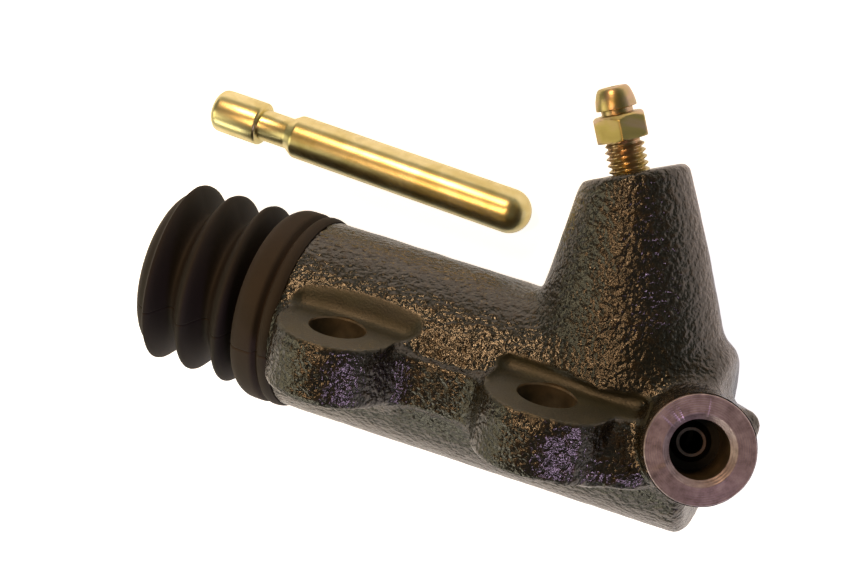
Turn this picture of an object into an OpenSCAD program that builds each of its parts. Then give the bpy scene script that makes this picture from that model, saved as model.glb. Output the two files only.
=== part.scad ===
/* [Cylinder] */
// Diameter of the fluid bore
bore_d = 22.2; // [19:0.1:24]
// Outside diameter of the casting at its open end
casting_open_d = 39.8; // [38.6:0.1:42]
// Outside diameter of the casting at its closed end
casting_closed_d = 37.6; // [36:0.1:39]
// Length of the casting
casting_length = 95.2; // [93:0.1:104]
// Thickness of the casting behind the fluid bore
end_wall = 4.6; // [4:0.2:6]
// Rounding of the closed end's rim
end_rounding = 3.6; // [1:0.2:4]
// Distance from the open end to the nearer mounting hole
open_end_to_hole = 23.25; // [23:0.25:28]

/* [Mounting ears] */
// Distance between the two mounting holes
hole_spacing = 43.5; // [42:0.5:48]
// Diameter of a mounting hole
hole_d = 11; // [10:0.1:12]
// Distance from the bore axis to the mounting holes' plane
ear_reach = 22; // [21:0.5:25]
// Height of the ears' flat pads above the bore axis
pad_height = 7.4; // [6:0.2:9]
// Thickness of an ear along its hole
ear_thickness = 12; // [10:0.5:13]
// Diameter of an ear's cast lobe
lobe_d = 25; // [24:0.5:27]
// Diameter of the flat pad on an ear
pad_d = 22.8; // [21:0.2:23.6]
// Height of the flat pad above the lobe's cast shoulder
pad_step = 1.4; // [0.8:0.2:2.4]
// Distance from the bore axis to the wall cut into the cylinder behind the pads
pad_wall = 15; // [14:0.2:16]
// Radius of the hollow at the foot of that wall
pad_fillet = 2.4; // [1:0.2:3]
// Length of the flat on each pad, past its hole's middle, towards the other ear
pad_reach = 11.4; // [8:0.2:13.5]
// Reach of the web between the ears, from the bore axis
web_reach = 20.4; // [19.5:0.2:22]

/* [Hose port] */
// Distance from the closed end to where the port's axis meets the bore axis
port_from_end = 6.4; // [6.2:0.1:9]
// Angle by which the port leans towards the closed end
port_lean = 17.2; // [10:0.2:20]
// Angle by which the port is raised towards the bleed side
port_raise = 17; // [10:0.5:22]
// Distance from the bore axis to the port's machined face
port_reach = 27.6; // [26:0.2:31]
// Diameter of the port's machined face
port_face_d = 20; // [19:0.2:21.6]
// Diameter of the port's cast boss
port_boss_d = 20.4; // [20.2:0.2:24]
// Height of the machined step on the port's boss
port_step = 1; // [0.6:0.2:2]
// Diameter of the port's hole, at the crests of its thread
port_bore_d = 10.9; // [10:0.1:11.4]
// Diameter of the port's chamfer at the face
port_chamfer_d = 13.2; // [12.6:0.2:14]
// Reach of the cast rib up the side of the port's boss, from the port's axis
port_rib_reach = 12; // [11.5:0.1:13]
// Thickness of that rib
port_rib_d = 6.4; // [5:0.2:8]
// Depth of the port's hole
port_depth = 13.4; // [11:0.2:13.6]
// Diameter of the passages drilled into the fluid bore
passage_d = 4.4; // [3:0.2:5]

/* [Bleed boss] */
// Distance from the closed end to where the bleed screw's axis meets the bore axis
bleed_from_end = 5.8; // [5:0.1:9]
// Angle by which the bleed screw leans towards the open end
bleed_lean = 25; // [20:0.5:28]
// Distance from the bore axis to the boss's top face, along the bleed screw
boss_reach = 51.4; // [48:0.2:56]
// Diameter of the boss's top
boss_top_d = 21; // [18:0.5:23]
// Rounding of the boss's top rim
boss_rounding = 2; // [1:0.5:3]
// Length of the boss's foot along the cylinder
boss_foot_length = 40; // [34:0.5:41]
// Width of the boss's foot across the cylinder
boss_foot_width = 33; // [28:0.5:34]
// Depth of the tapped hole for the bleed screw
bleed_hole_depth = 15; // [13:0.5:18]

/* [Bleed screw] */
// Diameter of the bleed screw's thread
bleed_thread_d = 7.8; // [7:0.1:9]
// Pitch of the bleed screw's thread
bleed_pitch = 1.25; // [1:0.05:1.5]
// Width across the flats of the bleed screw's hexagon
bleed_hex = 9.6; // [9:0.1:12]
// Height of the hexagon
bleed_hex_height = 4.9; // [3:0.1:6]
// Length of thread between the boss and the hexagon
bleed_stand_off = 6.9; // [3:0.1:8]
// Length of the nipple above the hexagon
nipple_length = 5.2; // [4.4:0.1:8]
// Diameter of the nipple's barb at its foot
nipple_d = 7.7; // [7:0.1:8.6]
// Diameter of the nipple at its top
nipple_tip_d = 5.9; // [5:0.1:6.6]
// Diameter of the nipple's neck
nipple_neck_d = 6; // [5.2:0.1:6.4]
// Diameter of the hole down the nipple
nipple_bore_d = 2.4; // [1.6:0.1:3]

/* [Dust boot] */
// Length of the boot, from its nose to its end bead
boot_length = 37.6; // [33.8:0.2:42]
// Thickness of the boot's gripping collar over the casting
boot_collar_wall = 0.7; // [0.6:0.05:1.6]
// Length of the boot's gripping collar
boot_collar_length = 6; // [5.6:0.1:7.4]
// Outside diameter over the boot's folds
boot_fold_d = 38.8; // [36:0.1:41]
// Outside diameter at the bottom of the boot's folds
boot_valley_d = 28; // [26:0.5:31]
// Thickness of the boot's rubber
boot_wall = 1.6; // [1.2:0.1:2]
// Diameter of the hole in the boot's nose
boot_hole_d = 9; // [8:0.1:9.2]
// Depth of the groove that the boot's bead sits in
boot_groove_depth = 2; // [1.4:0.1:2.4]
// Width of the groove that the boot's bead sits in
boot_groove_width = 4.4; // [3.4:0.1:5]
// Distance from the casting's open end to that groove
boot_groove_from_end = 4; // [3.6:0.1:5.4]

/* [Piston] */
// Length of the piston
piston_length = 26; // [22:0.5:30]
// Length of the piston's land outside its rear seal
rear_land = 6; // [4:0.5:8]
// Length of the piston's land inside its rear seal
middle_land = 3; // [2:0.5:4]
// Length of the piston's land behind its cup
front_land = 4; // [3:0.5:5]
// Depth of the piston's waist between its lands
waist_depth = 2; // [1:0.2:2.4]
// Depth of the push rod's seat, down to the middle of its round end
rod_seat_depth = 7; // [5:0.2:10]
// Diameter of the round seat that the push rod bears on
rod_seat_d = 9.8; // [9.5:0.1:11]
// Diameter of the piston's nose behind its cup
piston_nose_d = 7; // [6:0.2:9]
// Length of the piston's nose behind its cup
piston_nose_length = 3.4; // [2.8:0.1:4.2]
// Width of the groove for the piston's rear seal
seal_groove_width = 3.4; // [2.6:0.1:4]
// Depth of the groove for the piston's rear seal
seal_groove_depth = 2.6; // [2:0.1:3]
// Length of the primary cup
cup_length = 6.4; // [5.4:0.1:8]
// Thickness of the primary cup's floor
cup_floor = 2.6; // [2:0.1:3]
// Diameter of the cup spreader
spreader_d = 15.2; // [14.6:0.1:16]
// Thickness of the cup spreader's flange
spreader_flange = 1.4; // [1:0.1:2]
// Thickness of the wire of the retaining ring
ring_wire = 1.6; // [1.2:0.1:2]
// Distance from the casting's open end to the retaining ring
ring_from_end = 2.4; // [2:0.1:3.4]
// How far the retaining ring stands into the bore
ring_lip = 0.8; // [0.5:0.1:1]

/* [Return spring] */
// Thickness of the spring's wire
spring_wire = 1.5; // [1.2:0.1:1.8]
// Mean diameter of the spring at the bore's end
spring_end_d = 18; // [16:0.2:19]
// Mean diameter of the spring at the cup spreader
spring_cup_d = 10.4; // [10:0.2:11]
// Number of turns in the spring
spring_turns = 8; // [5:1:10]

/* [Push rod] */
// Diameter of the push rod
rod_d = 9.4; // [8:0.1:9.6]
// Length of the push rod
rod_length = 75; // [70:0.5:90]
// Length of the push rod's head
rod_head_length = 11.6; // [8:0.2:14]
// Diameter of the neck behind the head
rod_neck_d = 6.8; // [5.5:0.1:7.5]
// Length of the neck behind the head
rod_neck_length = 6.6; // [4:0.2:9]
// Length of the bevel from the neck to the shank
rod_bevel = 2; // [1:0.1:3]
// Distance from the bore axis to the middle of the push rod where it lies
rod_away = 30.8; // [28:0.2:40]
// Distance of the push rod's round end past the middle of the mounting holes
rod_end_past_holes = 0.6; // [-5:0.1:8]
// Angle by which the push rod lies out of line with the bore
rod_skew = 3.3; // [0:0.1:6]

/* [Fits] */
// Radial clearance of the piston in the bore
piston_clearance = 0.03; // [0.02:0.01:0.06]
// Radial clearance of the bleed screw's thread
thread_clearance = 0.05; // [0.02:0.01:0.1]
// Gap left between pieces that touch or grip each other
seat_gap = 0.1; // [0.05:0.05:0.2]

/* [Hidden] */
$fn = 96;
hull_facets = 32;
eps = 0.01;
// Places along the bore, from the middle of the two mounting holes
open_x = -hole_spacing / 2 - open_end_to_hole;
closed_x = open_x + casting_length;
bore_end_x = closed_x - end_wall;
port_x = closed_x - port_from_end;
bleed_x = closed_x - bleed_from_end;
groove_x = open_x + boot_groove_from_end;
ring_x = open_x + ring_from_end;
// The casting under the boot
groove_d = casting_open_d - 2 * boot_groove_depth;
rim_d = casting_open_d - 2.2;
bore_chamfer = 1;
// Angle of the gap between the retaining ring's ends, and where it starts
ring_gap = 20;
ring_gap_turn = 100;
// The ears
ear_bottom = pad_height - ear_thickness;
shoulder_height = pad_height - pad_step;
web_top = shoulder_height - 1;
web_half = hole_spacing / 2;
ledge_end_x = port_x - 5;
gusset_x = port_x - 6;
gusset_d = 10;
// Where the rib stands round the port's boss, turned from the closed end to the bleed side
port_rib_turn = 42;
// The bleed screw, measured along its own axis from the bore axis
bleed_hole_d = bleed_thread_d + 2 * thread_clearance;
bleed_floor = boss_reach - bleed_hole_depth;
bleed_passage_d = 3;
bleed_seat_length = bleed_hole_d / 2 - passage_d / 2;
hex_from = boss_reach + bleed_stand_off;
hex_to = hex_from + bleed_hex_height;
nipple_top = hex_to + nipple_length;
barb_from = hex_to + 1.1;
nipple_edge = 0.5;
thread_root_d = bleed_thread_d - 1.2 * bleed_pitch;
screw_tip_length = 5;
hex_turn = 46.9;
side_hole_d = 1.8;
// The boss's top is a little off the bleed screw's axis, and its foot is inside the cylinder's top
boss_top_shift = 0.7;
foot_x = port_x - 13.6;
foot_height = 13;
foot_thickness = 2;
// The boot
boot_end_x = groove_x + boot_groove_width + 0.2;
boot_nose_x = boot_end_x - boot_length;
boot_collar_d = casting_open_d + 2 * boot_collar_wall;
boot_folds = 3;
boot_bead_gap = 0.6;
boot_collar_rounding = 3.4;
boot_bead_rounding = 1.2;
collar_x = groove_x + boot_bead_gap - boot_collar_length;
nose_dome = 5.6;
last_fold_x = boot_nose_x + nose_dome;
// The last valley between the folds is just outside the collar's face
fold_from_x = collar_x - 0.8;
fold_pitch = (fold_from_x - last_fold_x) / (boot_folds - 0.5);
// The pieces on the piston, from its outer face inwards
piston_d = bore_d - 2 * piston_clearance;
piston_x = ring_x + ring_wire / 2 + seat_gap;
piston_front_x = piston_x + piston_length;
seal_groove_x = piston_x + rear_land;
waist_x = seal_groove_x + seal_groove_width + middle_land;
waist_d = piston_d - 2 * waist_depth;
piston_edge = 0.8;
seat_mouth = 2.4;
cup_hole_d = piston_nose_d + 2 * seat_gap;
cup_back_d = bore_d - 1;
cup_lip_d = bore_d - seat_gap;
cup_lip_depth = cup_length - cup_floor;
cup_x = piston_front_x + seat_gap;
spreader_x = cup_x + cup_floor + seat_gap;
spreader_length = 4.2;
spreader_vent_d = 2.4;
spring_x = spreader_x + spreader_flange + seat_gap;
spring_to_x = bore_end_x - seat_gap;
// The push rod lies on the surface that the boot rests on
rest_height = -boot_collar_d / 2;

// Everything is drawn about the bore axis and set down with the holes' middle at the origin
module on_bore() {
    translate([0, -pad_height, -ear_reach]) children();
}

// A round solid about the bore axis, from its outline in (distance along x, radius)
module turned_on_bore(outline) {
    rotate([90, 0, 90]) rotate([0, 0, -90]) rotate_extrude() polygon([for (p = outline) [p[1], p[0]]]);
}

// A cylinder or cone about the bore axis between two places along x
module along_bore(x0, x1, d0, d1) {
    translate([x0, 0, 0]) rotate([0, 90, 0]) cylinder(h = x1 - x0, d1 = d0, d2 = d1);
}

// Turns the z axis onto the port's axis, with the origin where it meets the bore axis
module on_port() {
    translate([port_x, 0, 0]) rotate([-port_raise, 0, 0]) rotate([0, port_lean, 0]) children();
}

// Turns the z axis onto the bleed screw's axis, with the origin where it meets the bore axis
module on_bleed() {
    translate([bleed_x, 0, 0]) rotate([0, 0, bleed_lean]) rotate([-90, 0, 0]) children();
}

// Turns the z axis onto a mounting hole's axis
module at_hole(side) {
    translate([side * hole_spacing / 2, 0, ear_reach]) rotate([-90, 0, 0]) children();
}

module cast_cylinder() {
    turned_on_bore([
        [groove_x + boot_groove_width - eps, 0],
        [groove_x + boot_groove_width - eps, casting_open_d / 2],
        [closed_x - end_rounding, casting_closed_d / 2],
        for (a = [75:-15:15]) [
            closed_x - end_rounding + end_rounding * cos(a),
            casting_closed_d / 2 - end_rounding + end_rounding * sin(a)
        ],
        [closed_x, casting_closed_d / 2 - end_rounding],
        [closed_x, 0]
    ]);
    along_bore(open_x, groove_x, rim_d - 0.6, rim_d);
    along_bore(groove_x - eps, groove_x + boot_groove_width, groove_d, groove_d);
}

// One ear: a round lobe with a flat pad, joined to the cylinder
module ear(side) {
    at_hole(side) {
        translate([0, 0, ear_bottom]) cylinder(h = shoulder_height - ear_bottom, d = lobe_d);
        translate([0, 0, shoulder_height - eps]) cylinder(h = pad_step + eps, d = pad_d);
    }
    translate([side * hole_spacing / 2 - lobe_d / 2, ear_bottom, 0])
        cube([lobe_d, shoulder_height - ear_bottom, ear_reach]);
    translate([side * hole_spacing / 2 - pad_d / 2, 0, 0])
        cube([pad_d, pad_height, ear_reach]);
}

// The flat and its wall, cut into the cylinder's side from one place along x to another
module pad_cut(x0, x1) {
    far = casting_open_d;
    translate([x0, 0, 0]) rotate([90, 0, 90]) linear_extrude(x1 - x0) polygon([
        [far, pad_wall],
        [pad_height + pad_fillet, pad_wall],
        for (a = [75:-15:15]) [
            pad_height + pad_fillet - pad_fillet * cos(a),
            pad_wall + pad_fillet - pad_fillet * sin(a)
        ],
        [pad_height, pad_wall + pad_fillet],
        [pad_height, far],
        [far, far]
    ]);
}

// The web between the ears, and the ledge and gusset that lead from the second ear to the port
module web_and_ledge() {
    translate([-web_half, ear_bottom, 0]) cube([2 * web_half, web_top - ear_bottom, web_reach]);
    translate([hole_spacing / 2, ear_bottom + 1, 0])
        cube([ledge_end_x - hole_spacing / 2, pad_height - ear_bottom - 1, web_reach]);
    translate([gusset_x, ear_bottom, ear_reach]) rotate([-90, 0, 0])
        cylinder(h = shoulder_height - ear_bottom, d1 = gusset_d + 3, d2 = gusset_d);
}

module bleed_boss() {
    hull() {
        on_bleed() translate([boss_top_shift, 0, boss_reach - 3])
            cylinder(h = 3 - boss_rounding, d = boss_top_d, $fn = hull_facets);
        on_bleed() translate([boss_top_shift, 0, boss_reach - eps])
            cylinder(h = eps, d = boss_top_d - 2 * boss_rounding, $fn = hull_facets);
        translate([foot_x, foot_height, 0]) rotate([-90, 0, 0])
            scale([boss_foot_length / boss_foot_width, 1, 1])
            cylinder(h = foot_thickness, d = boss_foot_width, $fn = hull_facets);
    }
    translate([foot_x, 0, 0]) rotate([-90, 0, 0])
        cylinder(h = foot_height + foot_thickness / 2, d = boss_foot_width - 1);
}

module port_boss() {
    on_port() {
        cylinder(h = port_reach - port_step, d = port_boss_d);
        cylinder(h = port_reach, d = port_face_d);
        rotate([0, 0, port_rib_turn]) translate([port_rib_reach - port_rib_d / 2, 0, 0])
            cylinder(h = port_reach - 3 * port_step, d = port_rib_d);
    }
}

// The casting in one piece, with its bore, holes and drilled passages
module body() {
    color("#2f2a25") on_bore() difference() {
        union() {
            difference() {
                cast_cylinder();
                pad_cut(groove_x + boot_groove_width + 1, -hole_spacing / 2 + pad_reach);
                pad_cut(hole_spacing / 2 - pad_reach, ledge_end_x);
            }
            for (side = [-1, 1]) ear(side);
            web_and_ledge();
            bleed_boss();
            port_boss();
        }
        bore_and_ring_groove();
        for (side = [-1, 1]) at_hole(side) translate([0, 0, ear_bottom - 1])
            cylinder(h = casting_open_d, d = hole_d);
        port_holes();
        bleed_holes();
    }
}

module bore_and_ring_groove() {
    along_bore(open_x - 1, bore_end_x, bore_d, bore_d);
    along_bore(open_x - eps, open_x + bore_chamfer, bore_d + 2 * bore_chamfer, bore_d);
    along_bore(ring_x - ring_wire / 2 - seat_gap, ring_x + ring_wire / 2 + seat_gap,
        bore_d + 2 * (ring_wire - ring_lip + seat_gap), bore_d + 2 * (ring_wire - ring_lip + seat_gap));
}

module port_holes() {
    chamfer = (port_chamfer_d - port_bore_d) / 2;
    on_port() {
        cylinder(h = port_reach, d = passage_d);
        translate([0, 0, port_reach - port_depth]) cylinder(h = port_depth + 1, d = port_bore_d);
        translate([0, 0, port_reach - chamfer])
            cylinder(h = chamfer + eps, d1 = port_bore_d, d2 = port_chamfer_d);
    }
}

module bleed_holes() {
    on_bleed() {
        cylinder(h = boss_reach, d = bleed_passage_d);
        translate([0, 0, bleed_floor]) cylinder(h = bleed_hole_depth + 1, d = bleed_hole_d);
        translate([0, 0, bleed_floor - bleed_seat_length])
            cylinder(h = bleed_seat_length + eps, d1 = passage_d, d2 = bleed_hole_d);
    }
}

// Half a fold's depth at a place along the boot, as a smooth wave
function fold_radius(x) = let (
        mean = (boot_fold_d + boot_valley_d) / 4,
        depth = (boot_fold_d - boot_valley_d) / 4
    ) mean - depth * cos(360 * (fold_from_x - x) / fold_pitch);

module dust_boot() {
    crest = boot_fold_d / 2;
    hole = boot_hole_d / 2;
    collar = boot_collar_d / 2;
    bead = collar - 0.1;
    grip = casting_open_d / 2 + seat_gap;
    steps = 8 * boot_folds - 4;
    step = (fold_from_x - last_fold_x) / steps;
    // The nose's dome, as share of its height and distance in from the last fold's crest
    dome = [[0.96, crest - hole - 4.6], [0.86, 7.4], [0.71, 4.9], [0.48, 2.9], [0.16, 0.9]];
    outer = [
        [boot_nose_x, hole],
        [boot_nose_x, hole + 2],
        for (d = dome) [last_fold_x - d[0] * nose_dome, crest - d[1]],
        for (i = [0:steps]) let (x = last_fold_x + i * step) [x, fold_radius(x)],
        [collar_x, boot_valley_d / 2],
        for (a = [0:15:90]) [
            collar_x + boot_collar_rounding * (1 - cos(a)),
            collar - boot_collar_rounding * (1 - sin(a))
        ],
        [groove_x - boot_bead_gap, collar],
        [groove_x, collar - boot_bead_gap],
        [groove_x + boot_bead_gap, collar - boot_bead_gap],
        [groove_x + 2 * boot_bead_gap, bead],
        [boot_end_x - boot_bead_rounding, bead],
        [boot_end_x - boot_bead_rounding / 3, bead - 0.4],
        [boot_end_x, grip]
    ];
    inner = [
        [groove_x + boot_groove_width - seat_gap, grip],
        [groove_x + boot_groove_width - seat_gap, groove_d / 2 + seat_gap],
        [groove_x + seat_gap, groove_d / 2 + seat_gap],
        [groove_x + seat_gap, rim_d / 2 + seat_gap],
        [open_x - seat_gap, rim_d / 2 + seat_gap],
        [open_x - seat_gap, boot_valley_d / 2 - boot_wall],
        for (i = [0:steps - 1]) let (x = fold_from_x - i * step) [x, fold_radius(x) - boot_wall],
        for (d = [[0.1, 3.4], [0.5, 4.6], [0.82, 7.6], [0.96, crest - hole - 4.6]])
            [last_fold_x - d[0] * nose_dome + boot_wall, crest - d[1]],
        [boot_nose_x + boot_wall, hole]
    ];
    color("#2a221e") on_bore() turned_on_bore(concat(outer, inner));
}

module retaining_ring() {
    color("#8d8f90") on_bore() translate([ring_x, 0, 0]) rotate([0, 90, 0])
        rotate_extrude(start = ring_gap_turn, angle = 360 - ring_gap)
        translate([bore_d / 2 - ring_lip + ring_wire / 2, 0]) circle(d = ring_wire, $fn = 24);
}

module piston() {
    front_x = piston_front_x - front_land;
    r = piston_d / 2;
    color("#b9bcbe") on_bore() difference() {
        turned_on_bore([
            [piston_x, 0],
            [piston_x, r - piston_edge],
            [piston_x + piston_edge, r],
            [seal_groove_x, r],
            [seal_groove_x, r - seal_groove_depth],
            [seal_groove_x + seal_groove_width, r - seal_groove_depth],
            [seal_groove_x + seal_groove_width, r],
            [waist_x, r],
            [waist_x + 1, waist_d / 2],
            [front_x - 1, waist_d / 2],
            [front_x, r],
            [piston_front_x, r],
            [piston_front_x, piston_nose_d / 2],
            [piston_front_x + piston_nose_length - piston_edge / 2, piston_nose_d / 2],
            [piston_front_x + piston_nose_length, piston_nose_d / 2 - piston_edge / 2],
            [piston_front_x + piston_nose_length, 0]
        ]);
        along_bore(piston_x - 1, piston_x + rod_seat_depth, rod_seat_d, rod_seat_d);
        along_bore(piston_x - eps, piston_x + seat_mouth, rod_seat_d + 2 * seat_mouth, rod_seat_d);
        translate([piston_x + rod_seat_depth, 0, 0]) sphere(d = rod_seat_d);
    }
}

module rear_seal() {
    root = piston_d / 2 - seal_groove_depth + seat_gap;
    x0 = seal_groove_x + seat_gap;
    x1 = seal_groove_x + seal_groove_width - seat_gap;
    color("#232323") on_bore() turned_on_bore([
        [x0, root],
        [x0, piston_d / 2 - 0.7],
        [x0 + 0.8, piston_d / 2 - 0.3],
        [x1 - 0.4, bore_d / 2 - 0.05],
        [x1, bore_d / 2 - 0.05],
        [x1, bore_d / 2 - 1.2],
        [x1 - 1.3, bore_d / 2 - 1.7],
        [x1 - 1.3, root]
    ]);
}

module primary_cup() {
    x1 = cup_x + cup_length;
    color("#232323") on_bore() turned_on_bore([
        [cup_x, cup_hole_d / 2],
        [cup_x, cup_back_d / 2 - 0.3],
        [cup_x + 0.6, cup_back_d / 2],
        [x1 - 0.6, cup_lip_d / 2],
        [x1, cup_lip_d / 2 - 0.2],
        [x1, cup_lip_d / 2 - 0.9],
        [x1 - cup_lip_depth, cup_back_d / 2 - 2.2],
        [x1 - cup_lip_depth, cup_hole_d / 2]
    ]);
}

module cup_spreader() {
    stub = spring_cup_d / 2 - spring_wire / 2 - seat_gap;
    flange_to = spreader_x + spreader_flange;
    spreader_to = spreader_x + spreader_length;
    color("#c8b27a") on_bore() difference() {
        turned_on_bore([
            [spreader_x, 0],
            [spreader_x, spreader_d / 2 - 0.4],
            [spreader_x + 0.4, spreader_d / 2],
            [flange_to, spreader_d / 2],
            [flange_to, stub],
            [spreader_to - 0.5, stub],
            [spreader_to, stub - 0.5],
            [spreader_to, 0]
        ]);
        along_bore(spreader_x - 1, piston_front_x + piston_nose_length + seat_gap, cup_hole_d, cup_hole_d);
        along_bore(spreader_x - 1, spreader_to + 1, spreader_vent_d, spreader_vent_d);
    }
}

// The middle of the spring's wire at a share of its length, wound from the spreader to the bore's end
function spring_lead(t) = let (
        flat = 0.75 / spring_turns,
        closed_rise = spring_wire * flat * spring_turns,
        length = spring_to_x - spring_x - spring_wire
    ) t < flat ? closed_rise * t / flat
    : t > 1 - flat ? length - closed_rise * (1 - t) / flat
    : closed_rise + (length - 2 * closed_rise) * (t - flat) / (1 - 2 * flat);

function spring_mean_r(t) = (spring_cup_d + (spring_end_d - spring_cup_d) * min(1, t * 1.25)) / 2;

module return_spring() {
    sides = 8;
    rings = 20 * spring_turns;
    points = [
        for (i = [0:rings]) let (t = i / rings, a = 360 * spring_turns * t, r = spring_mean_r(t))
            for (k = [0:sides - 1]) let (b = 360 * (k + 0.5) / sides, w = spring_wire / 2)
                [
                    spring_x + spring_wire / 2 + spring_lead(t) + w * sin(b),
                    (r + w * cos(b)) * cos(a),
                    (r + w * cos(b)) * sin(a)
                ]
    ];
    side_faces = [
        for (i = [0:rings - 1], k = [0:sides - 1]) let (
                n = (k + 1) % sides,
                p = i * sides + k,
                q = i * sides + n
            )
            each [[p, q, q + sides], [p, q + sides, p + sides]]
    ];
    first_cap = [[for (k = [sides - 1:-1:0]) k]];
    last_cap = [[for (k = [0:sides - 1]) rings * sides + k]];
    color("#7d8084") on_bore() polyhedron(points, concat(side_faces, first_cap, last_cap), convexity = 12);
}

// The bleed screw is one turned piece: tip, thread, hexagon and barbed nipple
module bleed_screw() {
    seat_z = bleed_floor + seat_gap;
    tip_to = bleed_floor + screw_tip_length;
    crest = bleed_thread_d / 2;
    root = thread_root_d / 2;
    turns = floor((hex_from - 0.8 - tip_to) / bleed_pitch);
    thread_to = tip_to + turns * bleed_pitch;
    nipple_r = nipple_d / 2;
    neck_r = nipple_neck_d / 2;
    color("#b59a55") on_bore() on_bleed() difference() {
        union() {
            rotate_extrude() polygon([
                [0, seat_z - 0.6],
                [passage_d / 2 - 0.8, seat_z - 0.6],
                [root - 0.2, seat_z + 1.2],
                [root - 0.2, tip_to - 0.4],
                for (i = [0:turns - 1]) each [
                    [root, tip_to + i * bleed_pitch],
                    [crest, tip_to + (i + 0.4) * bleed_pitch],
                    [crest, tip_to + (i + 0.6) * bleed_pitch]
                ],
                [root, thread_to],
                [root, hex_from + eps],
                [0, hex_from + eps]
            ]);
            intersection() {
                translate([0, 0, hex_from]) rotate([0, 0, hex_turn])
                    cylinder(h = bleed_hex_height, d = bleed_hex / cos(30), $fn = 6);
                hex_limit();
            }
            rotate_extrude() polygon([
                [0, hex_to - eps],
                [neck_r, hex_to - eps],
                [neck_r, barb_from],
                [nipple_r - 0.1, barb_from],
                [nipple_r, barb_from + 0.2],
                [nipple_r, barb_from + 0.6],
                [nipple_tip_d / 2, nipple_top - nipple_edge],
                [nipple_tip_d / 2 - nipple_edge, nipple_top],
                [0, nipple_top]
            ]);
        }
        translate([0, 0, tip_to]) cylinder(h = nipple_top, d = nipple_bore_d);
        translate([0, 0, tip_to - 1]) rotate([0, 90, 0])
            cylinder(h = bleed_thread_d, d = side_hole_d, center = true);
        translate([0, 0, tip_to - 1]) cylinder(h = 2, d = nipple_bore_d);
    }
}

// The round limit that takes the corners off the hexagon
module hex_limit() {
    corner = bleed_hex / cos(30) / 2;
    rotate_extrude() polygon([
        [0, hex_from - eps],
        [corner - 0.5, hex_from - eps],
        [corner + 0.1, hex_from + 0.5],
        [corner + 0.1, hex_to - 0.9],
        [bleed_hex / 2 - 0.2, hex_to + eps],
        [0, hex_to + eps]
    ]);
}

module push_rod() {
    r = rod_d / 2;
    head = rod_head_length;
    neck_to = head + rod_neck_length;
    color("#c9a94b") on_bore()
        translate([rod_end_past_holes - rod_length / 2, rod_away, rest_height + r])
        rotate([0, 0, -rod_skew]) translate([-rod_length / 2, 0, 0])
        turned_on_bore([
            [0, 0],
            [0, r - 1.8],
            [0.3, r - 0.9],
            [0.9, r - 0.25],
            [1.8, r],
            [head - 0.6, r],
            [head, r - 0.6],
            [head, rod_neck_d / 2],
            [neck_to, rod_neck_d / 2],
            [neck_to + rod_bevel, r],
            [rod_length - r, r],
            for (a = [75:-15:15]) [rod_length - r + r * cos(a), r * sin(a)],
            [rod_length, 0]
        ]);
}

body();
dust_boot();
retaining_ring();
piston();
rear_seal();
primary_cup();
cup_spreader();
return_spring();
bleed_screw();
push_rod();
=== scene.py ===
"""Looks of a clutch slave cylinder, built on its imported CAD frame.

The file is laid out as a Blender add-on and is run as a script. Sizes are in metres in the
part's frame: +X runs along the fluid bore towards its closed end, +Y along the mounting holes,
and +Z up from the side that the cylinder lies on. Its origin is midway between the two holes.
"""

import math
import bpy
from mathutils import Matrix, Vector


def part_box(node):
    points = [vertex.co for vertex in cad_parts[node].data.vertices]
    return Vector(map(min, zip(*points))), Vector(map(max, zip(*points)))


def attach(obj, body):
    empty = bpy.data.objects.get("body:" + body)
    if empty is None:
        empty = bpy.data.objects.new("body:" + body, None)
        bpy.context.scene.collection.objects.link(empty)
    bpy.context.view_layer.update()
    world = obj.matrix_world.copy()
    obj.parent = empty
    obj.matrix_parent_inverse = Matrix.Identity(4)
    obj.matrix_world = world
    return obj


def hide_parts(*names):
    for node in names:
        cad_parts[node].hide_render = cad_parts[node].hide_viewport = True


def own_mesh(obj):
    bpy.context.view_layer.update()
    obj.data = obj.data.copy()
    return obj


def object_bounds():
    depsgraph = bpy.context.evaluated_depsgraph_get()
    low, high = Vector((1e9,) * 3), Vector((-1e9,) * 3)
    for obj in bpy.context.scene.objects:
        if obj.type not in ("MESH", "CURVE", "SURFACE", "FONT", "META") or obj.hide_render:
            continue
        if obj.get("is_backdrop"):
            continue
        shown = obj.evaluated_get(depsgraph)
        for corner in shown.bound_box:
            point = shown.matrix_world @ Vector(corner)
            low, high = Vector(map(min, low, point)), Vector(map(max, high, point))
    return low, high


bl_info = {
    "name": "Clutch Slave Cylinder",
    "version": (1, 0, 0),
    "blender": (4, 5, 0),
    "location": "3D View > Sidebar > Slave Cylinder",
    "description": "Builds the cast body, dust boot, bleed screw and push rod of a clutch slave cylinder",
    "category": "Add Mesh",
}

import bmesh
import bpy
import numpy as np
from bpy.props import FloatProperty, FloatVectorProperty, IntProperty, PointerProperty
from mathutils import Matrix, Vector, noise

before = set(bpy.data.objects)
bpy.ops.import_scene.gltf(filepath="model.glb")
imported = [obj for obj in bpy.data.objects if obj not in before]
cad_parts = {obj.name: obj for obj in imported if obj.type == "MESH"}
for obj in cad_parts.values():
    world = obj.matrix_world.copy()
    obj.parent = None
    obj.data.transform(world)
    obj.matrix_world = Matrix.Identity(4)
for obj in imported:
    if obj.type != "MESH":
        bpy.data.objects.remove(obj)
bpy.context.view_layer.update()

MM = 0.001
BORE_Y = -7.4 * MM
BORE_Z = -22.0 * MM
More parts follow.
